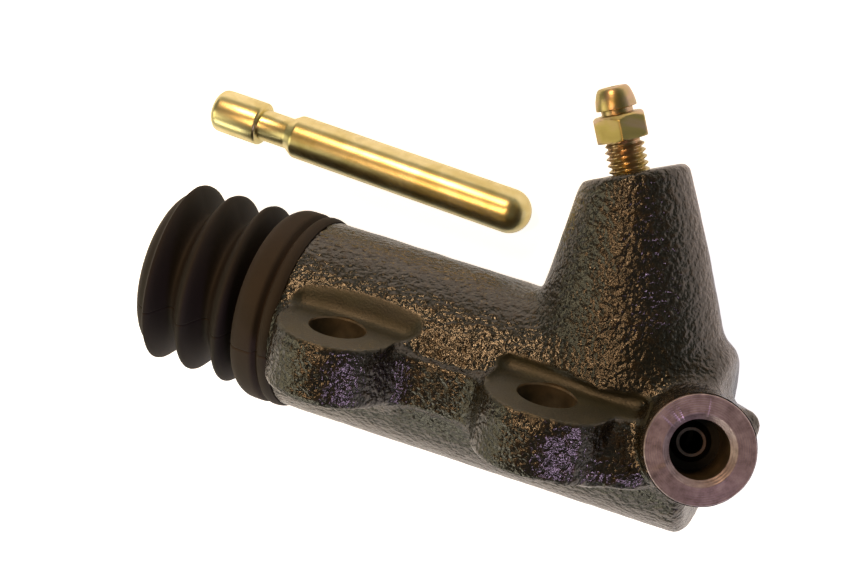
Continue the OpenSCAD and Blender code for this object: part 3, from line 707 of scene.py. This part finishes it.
class DustBootSettings(bpy.types.PropertyGroup):
    """Shape of the rubber boot."""

    tilt: FloatProperty(name="Tilt", description="How far the boot's top is pushed towards the casting",
                        default=2.5 * MM, min=0.0, max=3 * MM, unit="LENGTH")
    lean: FloatProperty(name="Lean", description="How far the boot's bleed side is pushed that way",
                        default=0.55 * MM, min=0.0, max=1 * MM, unit="LENGTH")
    segments: IntProperty(name="Segments", description="Sides of the boot", default=128, min=32, max=256)


class BleedScrewSettings(bpy.types.PropertyGroup):
    """Sizes of the bleed screw."""

    pitch: FloatProperty(name="Pitch", description="Pitch of the thread", default=1.25 * MM, min=0.8 * MM,
                         max=2 * MM, unit="LENGTH")
    hexagon_turn: FloatProperty(name="Hexagon turn", description="Which way the hexagon faces",
                                default=math.radians(46.9), unit="ROTATION")


class PushRodSettings(bpy.types.PropertyGroup):
    """Place of the push rod beside the cylinder."""

    skew: FloatProperty(name="Skew", description="Angle between the rod and the bore",
                        default=math.radians(3.3), unit="ROTATION")


class StageSettings(bpy.types.PropertyGroup):
    """Floor, lights and camera."""

    floor_colour: FloatVectorProperty(name="Floor", description="Colour of the floor", subtype="COLOR",
                                      size=3, default=linear("#f4f4f2")[:3], min=0.0, max=1.0)
    lens: FloatProperty(name="Lens", description="Focal length for a 36 mm wide frame, in millimetres",
                        default=67.34, min=20.0, max=200.0)
    lamp_strength: FloatProperty(name="Lamp strength", description="Share of the lamps' full power",
                                 default=1.0, min=0.0, max=4.0)


class SLAVE_OT_cast_body(bpy.types.Operator):
    """Builds the one-piece casting with its machined faces and holes"""

    bl_idname = "slave.cast_body"
    bl_label = "Cast Body"

    def execute(self, context):
        s = context.scene.slave_body
        replace_old("cast_body")
        cell = s.cell / MM
        margin = 3 * cell
        low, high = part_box("body")
        low = [c / MM - margin for c in low]
        high = [c / MM + margin for c in high]
        axes = [np.arange(a, b, cell) for a, b in zip(low, high)]
        x, y, z = np.meshgrid(*axes, indexing="ij")
        points, faces = field_mesh(casting_field(x, y, z, s), low, cell)
        data = mesh_from("cast_body", points * MM, faces.tolist())
        self.swell_skin(data, points, s.unevenness)
        piece = add_piece("cast_body", data, [], sharp=None)
        cut_with(piece, self.cutters())
        data = piece.data
        data.materials.clear()
        for material in (cast_iron_skin(), faced_iron(), drilled_iron(), painted_shade_iron()):
            data.materials.append(material)
        self.mark_milled(data)
        self.give_finishes(data)
        data.shade_smooth()
        data.set_sharp_from_angle(angle=math.radians(38))
        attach(piece, "cylinder")
        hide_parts("body")
        return {"FINISHED"}

    def swell_skin(self, data, points, height):
        """Lets the skin swell and dip a little, as sand casting leaves it, but not where it is milled."""
        normals = np.zeros(len(data.vertices) * 3, np.float32)
        data.vertices.foreach_get("normal", normals)
        normals = normals.reshape(-1, 3)
        swell_mm = 5.0
        swell = np.array([noise.fractal(Vector(p) / swell_mm, 1.0, 2.0, 3) for p in points])
        swell *= np.clip((np.abs(pad_cuts(*points.T)) - 0.15) / 0.5, 0.0, 1.0)
        moved = points * MM + normals * (swell * height)[:, None]
        data.vertices.foreach_set("co", moved.astype(np.float32).ravel())
        data.update()

    def mark_milled(self, data):
        """Writes each point's share of milled surface, from how near it lies to the pads' cuts."""
        places = np.zeros(len(data.vertices) * 3, np.float32)
        data.vertices.foreach_get("co", places)
        away = np.abs(pad_cuts(*(places.reshape(-1, 3) / MM).T))
        share = np.clip(1.0 - (away - 0.12) / 0.3, 0.0, 1.0).astype(np.float32)
        data.attributes.new("milled", "FLOAT", "POINT").data.foreach_set("value", share)

    def cutters(self):
        """The bore, both mounting holes, the port and the bleed screw's hole, as solids to cut out."""
        along_x = Vector((1.0, 0.0, 0.0))
        along_y = Vector((0.0, 1.0, 0.0))
        ring_r, mouth_r = 12.0, 12.1
        bore = [(0, -50), (mouth_r, -50), (mouth_r, -45), (BORE_R, -44), (BORE_R, -43.5), (ring_r, -43.5),
                (ring_r, -41.7), (BORE_R, -41.7), (BORE_R, BORE_END_X), (0, BORE_END_X)]
        mounting_hole = [(0, -40), (HOLE_R, -40), (HOLE_R, -0.25), (HOLE_RIM_R, 0.05), (HOLE_RIM_R, 1.5),
                         (0, 1.5)]
        port_step = [(0, 27.6), (PORT_FACE_R - 0.15, 27.6), (PORT_FACE_R, 27.45), (PORT_FACE_R, 26.6),
                     (12.4, 26.6), (12.4, 36), (0, 36)]
        port_hole = [(0, 15.4), (2.75, 15.4), (3.9, 14.2), (PORT_BORE_R, 14.2), (PORT_BORE_R, 26.45),
                     (6.6, 27.6), (6.6, 30), (0, 30)]
        port_passage = [(0, 2), (2.2, 2), (2.2, 16), (0, 16)]
        bleed_hole = [(0, 2), (1.5, 2), (1.5, 34.6), (2.2, 34.6), (3.95, 36.4), (3.95, 56), (0, 56)]
        holes = [("bore", bore, Vector((0.0, BORE_Y, BORE_Z)), along_x, 96)]
        holes += [("mounting_hole", mounting_hole, Vector((side * EAR_X * MM, 0.0, 0.0)), along_y, 96)
                  for side in (-1, 1)]
        holes += [("port_step", port_step, PORT_AT, PORT_WAY, 128),
                  ("port_hole", port_hole, PORT_AT, PORT_WAY, 128),
                  ("port_passage", port_passage, PORT_AT, PORT_WAY, 64),
                  ("bleed_hole", bleed_hole, BLEED_AT, BLEED_WAY, 96)]
        return [turned_mesh(name, [(r * MM, h * MM) for r, h in outline], round_angles(sides),
                            axis_matrix(at, way)) for name, outline, at, way, sides in holes]

    def give_finishes(self, data):
        """Gives each machined face its own finish, and the port's floor its painted shade, by where it is."""
        centre = np.zeros(len(data.polygons) * 3, np.float32)
        normal = np.zeros(len(data.polygons) * 3, np.float32)
        data.polygons.foreach_get("center", centre)
        data.polygons.foreach_get("normal", normal)
        x, y, z = (centre.reshape(-1, 3) / MM).T
        upright = np.abs(normal.reshape(-1, 3)[:, 1]) < 0.9
        finish = np.full(len(data.polygons), SKIN, np.int32)
        for x0 in (-EAR_X, EAR_X):
            finish[(np.hypot(x - x0, z) < HOLE_RIM_R + 0.05) & upright & (y < 0.3)] = DRILLED
        t, out = along(x, y, z, PORT_AT, PORT_WAY)
        finish[(out < PORT_FACE_R + 0.1) & (t > 26.4)] = FACED
        finish[(out < PORT_BORE_R + 0.15) & (t > 1) & (t < 27)] = DRILLED
        # The port's floor, deep in the hole, gets painted black shade
        finish[(out < PORT_BORE_R - 0.15) & (t > 1) & (t < 15.35)] = PAINTED_SHADE
        finish[(out < 2.8) & (t > 15.35) & (t < 16)] = FACED
        t, out = along(x, y, z, BLEED_AT, BLEED_WAY)
        finish[(out < 4.2) & (t > 2)] = DRILLED
        in_bore = np.hypot(y - BORE_Y / MM, z - BORE_Z / MM) < 12.2
        finish[in_bore & (x < BORE_END_X + 0.4)] = DRILLED
        data.polygons.foreach_set("material_index", finish)


class SLAVE_OT_dust_boot(bpy.types.Operator):
    """Builds the folded rubber boot on the casting's open end"""

    bl_idname = "slave.dust_boot"
    bl_label = "Dust Boot"

    def execute(self, context):
        s = context.scene.slave_boot
        replace_old("dust_boot_rubber")
        crest, valley, pitch = 19.4, 14.0, 8.48
        last_fold, first_valley, collar_face, wall = -68.4, -47.2, -46.4, 1.6
        nose_x, nose_rise, nose_r, shoulder_r = -69.4, 4.6, 17.5, 3.4

        def fold(x):
            """The radius of the folds at a place along the bore."""
            wave = math.cos(2 * math.pi * (x - last_fold) / pitch)
            return (crest + valley) / 2 + (crest - valley) / 2 * wave

        # Outside: the domed nose and its rim, the folds, then the collar's face, shoulder, groove and lip
        nose = [4.5, 7.0, 9.0, 10.5, 12.0, 13.2, 14.4, 15.4, 16.2, 16.8, 17.2, 17.45]
        outer = [(r, nose_x - nose_rise * (1 - (r / nose_r) ** 3.5) ** 0.6) for r in nose]
        outer += [(17.8, -69.15), (18.4, -68.98), (19.0, -68.75)]
        outer += [(fold(x), x) for x in np.linspace(last_fold, first_valley, 60)]
        outer += [(14.4, collar_face - 0.3), (15.6, collar_face), (17.0, collar_face + 0.05)]
        outer += [(17.2 + shoulder_r * math.sin(a), collar_face + shoulder_r * (1 - math.cos(a)))
                  for a in np.linspace(0.15, math.pi / 2, 10)]
        outer += [(20.6, -40.9), (20.5, -40.5), (20.2, -40.15), (19.6, -39.9), (19.35, -39.6), (19.5, -39.3),
                  (20.1, -39.0), (20.42, -38.7), (20.52, -38.3), (20.5, -37.6), (20.35, -37.0), (20.1, -36.6),
                  (20.0, -36.4)]
        # Inside: the collar's grooves for the casting's neck, the folds and the back of the nose
        inner = [(20.0, -36.7), (18.0, -36.7), (18.0, -40.9), (18.9, -40.9), (18.9, -45.1), (12.4, -45.1)]
        inner += [(fold(x) - wall, x) for x in np.linspace(first_valley, last_fold + 1.1, 40)]
        inner += [(16.7, -68.4), (16.4, -69.1), (15.9, -69.8), (15.1, -70.4), (14.2, -70.9), (12.9, -71.35),
                  (10.5, -71.9), (4.5, -72.4)]

        def boot_radius(radius, height, angle):
            """The mould's parting line is a thin groove on both sides of the boot."""
            groove_width, groove_depth, from_r = 0.55, 0.22 * MM, 13 * MM
            turn = math.degrees(angle) % 180.0
            groove = math.exp(-((turn - PARTING_TURN) / groove_width) ** 2)
            return radius - groove_depth * groove * (radius > from_r)

        outline = [(r * MM, h * MM) for r, h in outer + inner]
        angles = round_angles(s.segments)
        for turn in (PARTING_TURN, PARTING_TURN + 180.0):
            angles += [math.radians(turn + off) for off in (-1.3, -0.7, -0.35, 0.0, 0.35, 0.7, 1.3)]
        data = turned_mesh("dust_boot_rubber", outline, sorted(angles), bore_matrix(), closed=True,
                           radius_at=boot_radius)
        # The soft boot isn't pushed quite square onto the casting: its top stands closer in than its foot.
        # The collar takes a little under half of that, and the folds take the rest within 4 mm of it.
        for vertex in data.vertices:
            past = collar_face - vertex.co.x / MM
            far = 0.45 * min(1.0, max(0.0, past + 1.0)) + 0.55 * min(1.0, max(0.0, past / 4.0))
            top = (vertex.co.z - BORE_Z) / (crest * MM)
            top = max(top, 0.25 * top) - 0.12
            aside = (vertex.co.y - BORE_Y) / (crest * MM)
            vertex.co.x += far * (s.tilt * top + s.lean * aside)
        # Painted light along the boot: a pale painted backlight on the nose, and a lighter collar where it
        # faces the lamps
        rubber = moulded_rubber("Natural rubber, moulded, painted light", "#15110f", "#1f1916", 0.72, 0.6, [
            (-74.5, "#b5ae92"), (-71.4, "#8a8468"), (-69.8, "#1a1512"), (-47.4, "#17120f"),
            (-46.2, "#28201b"), (-40.6, "#2d251e"), (-36.0, "#1f1915")])
        add_piece("dust_boot_rubber", data, [rubber], "cylinder", ["dust_boot"], sharp=50.0)
        return {"FINISHED"}


class SLAVE_OT_bleed_screw(bpy.types.Operator):
    """Builds the bleed screw with its thread, hexagon and barbed nipple"""

    bl_idname = "slave.bleed_screw"
    bl_label = "Bleed Screw"

    def execute(self, context):
        s = context.scene.slave_bleed
        replace_old("bleed_screw_zinc")
        pitch = s.pitch / MM
        root, crest = 3.12, 3.88
        thread_from, thread_to = 41.4, 57.6
        hex_from, hex_to = 58.3, 63.2
        flat = 4.8
        corner = flat / math.cos(math.pi / 6)
        rows = [(0.0, 35.9), (1.4, 35.9), (2.95, 37.6), (2.95, 41.0)]
        rows += [(root, h) for h in np.arange(thread_from - 0.2, thread_to + 0.45, pitch / 10)]
        rows += [(3.1, hex_from - 0.05), (flat, hex_from)]
        rows += [(corner, hex_from + h)
                 for h in (0.02, 0.15, 0.35, 0.6, 0.9, 1.6, 2.6, 3.6, 3.9, 4.1, 4.3, 4.5, 4.65, 4.77, 4.87)]
        # The neck above the hexagon, the barb, the nipple's rounded end and the hole down its middle
        rows += [(flat - 0.5, hex_to), (3.2, 63.22), (3.0, 63.35), (3.0, 64.15), (3.15, 64.28), (3.8, 64.3)]
        rows += [(3.87, 64.38), (3.87, 64.7), (3.82, 65.3), (3.67, 66.2), (3.44, 67.0), (3.22, 67.6),
                 (3.0, 68.0), (2.75, 68.25), (2.5, 68.37), (2.2, 68.4), (1.35, 68.4), (1.2, 68.25),
                 (1.2, 60.0), (0.0, 60.0)]

        def screw_radius(radius, height, angle):
            """The thread climbs as it turns, and the hexagon's corners are taken off at both ends."""
            r, h = radius / MM, height / MM
            near = 1e-6
            run_out = 0.8
            if abs(r - root) < near:
                fade = min(1.0, max(0.0, (h - thread_from) / run_out))
                fade *= min(1.0, max(0.0, (thread_to + run_out / 2 - h) / run_out))
                phase = (h / pitch - angle / (2 * math.pi)) % 1.0
                rise = min(1.0, max(0.0, 2.6 * (0.5 - abs(phase - 0.5)) - 0.15))
                return (root + (crest - root) * rise * fade) * MM
            if abs(r - corner) < near:
                turn = (angle - s.hexagon_turn + math.pi / 6) % (math.pi / 3) - math.pi / 6
                side = flat / math.cos(math.pi / 6 - abs(turn))
                off_top = flat - 0.4 + (hex_to - h) * 1.15
                off_foot = flat + 0.2 + (h - hex_from) * 1.5
                return min(side, off_top, off_foot) * MM
            return radius

        # The screw's own X axis is set along the CAD hexagon's, so that both face the same way
        own_x = Vector((math.cos(BLEED_LEAN), math.sin(BLEED_LEAN), 0.0))
        rotation = Matrix((own_x, BLEED_WAY.cross(own_x), BLEED_WAY)).transposed()
        place = Matrix.Translation(BLEED_AT) @ rotation.to_4x4()
        data = turned_mesh("bleed_screw_zinc", [(r * MM, h * MM) for r, h in rows], round_angles(144), place,
                           radius_at=screw_radius)
        zinc = yellow_zinc("Steel, turned and yellow zinc plated, dulled",
                           ["#9c8f5c", "#ac9f68", "#b9a18a", "#989a6a"], 0.33, BLEED_AT, BLEED_WAY, 0.5)
        add_piece("bleed_screw_zinc", data, [zinc], "bleed", ["bleed_screw"], sharp=32.0)
        return {"FINISHED"}


class SLAVE_OT_push_rod(bpy.types.Operator):
    """Builds the turned push rod that lies beside the cylinder"""

    bl_idname = "slave.push_rod"
    bl_label = "Push Rod"

    def execute(self, context):
        s = context.scene.slave_rod
        replace_old("push_rod_zinc")
        r, neck_r, length = 4.7, 3.4, 75.0
        # The head and its worn edges, the neck, the shoulder and the round end
        outline = [(0, 0.02), (2.4, 0.0), (2.9, 0.02), (3.8, 0.28), (4.45, 0.9), (4.62, 1.3), (4.68, 1.8),
                   (r, 2.4), (r, 10.95), (4.62, 11.25), (4.45, 11.45), (4.1, 11.58), (3.7, 11.6)]
        outline += [(3.45, 11.65), (neck_r, 11.9), (neck_r, 18.1), (3.44, 18.3), (4.6, 20.1), (4.68, 20.35),
                    (r, 20.8)]
        outline += [(r * math.cos(a), length - r + r * math.sin(a)) for a in np.linspace(0, math.pi / 2, 14)]
        middle = Vector((-36.9, 30.8, -15.9)) * MM + Vector((0.0, BORE_Y, BORE_Z))
        way = Vector((math.cos(s.skew), -math.sin(s.skew), 0.0))
        start = middle - way * (length / 2) * MM
        data = turned_mesh("push_rod_zinc", [(a * MM, h * MM) for a, h in outline], round_angles(96),
                           axis_matrix(start, way))
        zinc = yellow_zinc("Steel, turned and yellow zinc plated",
                           ["#bfb27c", "#cec28a", "#dcd2a2", "#c2b786"], 0.3, start, way, 0.6)
        add_piece("push_rod_zinc", data, [zinc], "cylinder", ["push_rod"], sharp=32.0)
        return {"FINISHED"}


class SLAVE_OT_inner_pieces(bpy.types.Operator):
    """Gives the piston, its seals and the retaining ring their finishes, and winds the return spring"""

    bl_idname = "slave.inner_pieces"
    bl_label = "Inner Pieces"

    def execute(self, context):
        wire = worked_metal("Spring steel, drawn", "#6f7174", "#9a9c9f", 0.32, 0.4)
        seal = moulded_rubber("Synthetic rubber, moulded smooth", "#0f0f0f", "#191918", 0.4, 0.8)
        finishes = {
            "retaining_ring": wire,
            "piston": worked_metal("Aluminium, turned", "#b3b5b7", "#cfd1d3", 0.3, 0.5),
            "rear_seal": seal,
            "primary_cup": seal,
            "cup_spreader": moulded_nylon(),
        }
        for node, material in finishes.items():
            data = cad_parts[node].data
            data.materials.clear()
            data.materials.append(material)
        replace_old("return_spring_coil")
        low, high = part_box("return_spring")
        data = coil_mesh("return_spring_coil", low.x, high.x)
        coil = add_piece("return_spring_coil", data, [wire], "cylinder", ["return_spring"],
                         sharp=60.0)
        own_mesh(coil)
        return {"FINISHED"}


# The soft lamps: name, place and size in metres, power in watts at full strength, and colour
LAMPS = (
    ("key_lamp", (-0.20, 0.50, 0.43), (0.08, 0.2), 2.3, "#ffcd96"),
    ("top_lamp", (-0.12, 0.08, 0.60), (0.26, 0.07), 1.0, "#ffc88e"),
    ("lilac_lamp", (0.42, -0.23, 0.36), (0.11, 0.12), 0.9, "#ecc8f2"),
    ("front_lamp", (-0.22, -0.52, 0.29), (0.6, 0.16), 1.3, "#fff6d8"),
    ("left_lamp", (-0.52, -0.14, 0.36), (0.3, 0.4), 0.9, "#f6e8bc"),
)
LAMPS_AIM = Vector((0.0, 0.01, -0.02))
# Where the camera stands, and which way its picture's right and top point
CAMERA_AT = Vector((88.8, 105.3, 267.5)) * MM
CAMERA_RIGHT = Vector((0.9059, 0.1811, -0.3825))
CAMERA_UP = Vector((-0.2791, 0.9345, -0.2205))


class SLAVE_OT_stage(bpy.types.Operator):
    """Sets the pale floor, the soft lights and the camera"""

    bl_idname = "slave.stage"
    bl_label = "Stage"

    def execute(self, context):
        s = context.scene.slave_stage
        for name in ["floor", "camera"] + [lamp[0] for lamp in LAMPS]:
            replace_old(name)
        self.add_floor(s)
        for name, place, size, power, colour in LAMPS:
            self.add_lamp(name, place, size, power * s.lamp_strength, colour)
        self.light_world(context.scene)
        self.add_camera(context.scene, s)
        context.scene.view_settings.view_transform = "Standard"
        return {"FINISHED"}

    def add_floor(self, s):
        """A glowing table, a hair below the object's lowest point."""
        half_width = 1.2
        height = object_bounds()[0][2] - 0.02 * MM
        mesh = bmesh.new()
        bmesh.ops.create_grid(mesh, x_segments=8, y_segments=8, size=half_width,
                              matrix=Matrix.Translation((0.0, 0.0, height)))
        data = bpy.data.meshes.new("floor")
        mesh.to_mesh(data)
        mesh.free()
        floor = bpy.data.objects.new("floor", data)
        bpy.context.scene.collection.objects.link(floor)
        material, tree, shader, _ = new_material("Light table, opal plastic")
        shader.inputs["Base Color"].default_value = tuple(s.floor_colour) + (1.0,)
        shader.inputs["Roughness"].default_value = 0.9
        # The table glows to the camera, less in polished metal, and still takes the object's shadow
        path = add_node(tree, "ShaderNodeLightPath").outputs
        mirrored = add_node(tree, "ShaderNodeMath", {"operation": "MULTIPLY"}, {1: 0.5},
                            {0: path["Is Glossy Ray"]})
        glow = add_node(tree, "ShaderNodeMath", {"operation": "MULTIPLY_ADD"}, {1: 0.9},
                        {0: path["Is Camera Ray"], 2: mirrored.outputs[0]})
        light = add_node(tree, "ShaderNodeEmission", inputs={"Color": (1.0, 1.0, 0.985, 1.0)},
                         links={"Strength": glow.outputs[0]})
        both = add_node(tree, "ShaderNodeAddShader",
                        links={0: shader.outputs["BSDF"], 1: light.outputs["Emission"]})
        output = next(n for n in tree.nodes if n.bl_idname == "ShaderNodeOutputMaterial")
        tree.links.new(both.outputs[0], output.inputs["Surface"])
        data.materials.append(material)
        floor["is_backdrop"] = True

    def add_lamp(self, name, place, size, power, colour):
        """A soft rectangular lamp that faces the middle of the object."""
        data = bpy.data.lights.new(name, "AREA")
        data.shape = "RECTANGLE"
        data.size, data.size_y = size
        data.energy = power
        data.color = linear(colour)[:3]
        lamp = bpy.data.objects.new(name, data)
        lamp.location = place
        lamp.rotation_euler = (LAMPS_AIM - Vector(place)).to_track_quat("-Z", "Y").to_euler()
        bpy.context.scene.collection.objects.link(lamp)

    def light_world(self, scene):
        """A pale room, brighter towards its walls than overhead."""
        world = bpy.data.worlds.new("Pale room")
        world.use_nodes = True
        tree = world.node_tree
        tree.nodes.clear()
        way = add_node(tree, "ShaderNodeTexCoord").outputs["Generated"]
        parts = add_node(tree, "ShaderNodeSeparateXYZ", links={0: way})
        level = add_node(tree, "ShaderNodeMapRange", links={"Value": parts.outputs["Z"]},
                         inputs={"From Min": 0.1, "From Max": 0.6, "To Min": 0.34, "To Max": 0.09})
        back = add_node(tree, "ShaderNodeBackground", inputs={"Color": (0.97, 1.0, 0.8, 1.0)},
                        links={"Strength": level.outputs["Result"]})
        add_node(tree, "ShaderNodeOutputWorld", links={"Surface": back.outputs["Background"]})
        scene.world = world

    def add_camera(self, scene, s):
        """The photo's camera, found from the outlines of the holes, barrel, boot and port."""
        data = bpy.data.cameras.new("camera")
        data.lens = s.lens
        data.sensor_width = 36.0
        data.clip_start = 0.01
        camera = bpy.data.objects.new("camera", data)
        right = CAMERA_RIGHT.normalized()
        up = (CAMERA_UP - right * CAMERA_UP.dot(right)).normalized()
        axes = Matrix((right, up, right.cross(up))).transposed()
        camera.matrix_world = Matrix.Translation(CAMERA_AT) @ axes.to_4x4()
        scene.collection.objects.link(camera)
        scene.camera = camera


class SLAVE_PT_panel(bpy.types.Panel):
    """Lists the pieces and their sizes in the 3D view's sidebar"""

    bl_label = "Slave Cylinder"
    bl_idname = "SLAVE_PT_panel"
    bl_space_type = "VIEW_3D"
    bl_region_type = "UI"
    bl_category = "Slave Cylinder"

    def draw(self, context):
        scene = context.scene
        groups = (
            ("slave.cast_body", scene.slave_body, ("cell", "end_rounding", "boss_blend", "web_blend",
                                                   "ear_blend", "port_blend", "unevenness")),
            ("slave.dust_boot", scene.slave_boot, ("tilt", "lean", "segments")),
            ("slave.bleed_screw", scene.slave_bleed, ("pitch", "hexagon_turn")),
            ("slave.push_rod", scene.slave_rod, ("skew",)),
            ("slave.stage", scene.slave_stage, ("floor_colour", "lens", "lamp_strength")),
        )
        for operator, settings, names in groups:
            box = self.layout.box()
            box.operator(operator)
            for name in names:
                box.prop(settings, name)
        self.layout.operator("slave.inner_pieces")


SETTINGS = (
    ("slave_body", CastBodySettings),
    ("slave_boot", DustBootSettings),
    ("slave_bleed", BleedScrewSettings),
    ("slave_rod", PushRodSettings),
    ("slave_stage", StageSettings),
)
CLASSES = (
    CastBodySettings,
    DustBootSettings,
    BleedScrewSettings,
    PushRodSettings,
    StageSettings,
    SLAVE_OT_cast_body,
    SLAVE_OT_dust_boot,
    SLAVE_OT_bleed_screw,
    SLAVE_OT_push_rod,
    SLAVE_OT_inner_pieces,
    SLAVE_OT_stage,
    SLAVE_PT_panel,
)


def register():
    for kind in CLASSES:
        bpy.utils.register_class(kind)
    for name, kind in SETTINGS:
        setattr(bpy.types.Scene, name, PointerProperty(type=kind))


def unregister():
    for name, _ in SETTINGS:
        delattr(bpy.types.Scene, name)
    for kind in reversed(CLASSES):
        bpy.utils.unregister_class(kind)


def main():
    """Builds every piece and the stage."""
    register()
    bpy.ops.slave.cast_body()
    bpy.ops.slave.dust_boot()
    bpy.ops.slave.bleed_screw()
    bpy.ops.slave.push_rod()
    bpy.ops.slave.inner_pieces()
    bpy.ops.slave.stage()


if __name__ == "__main__":
    main()
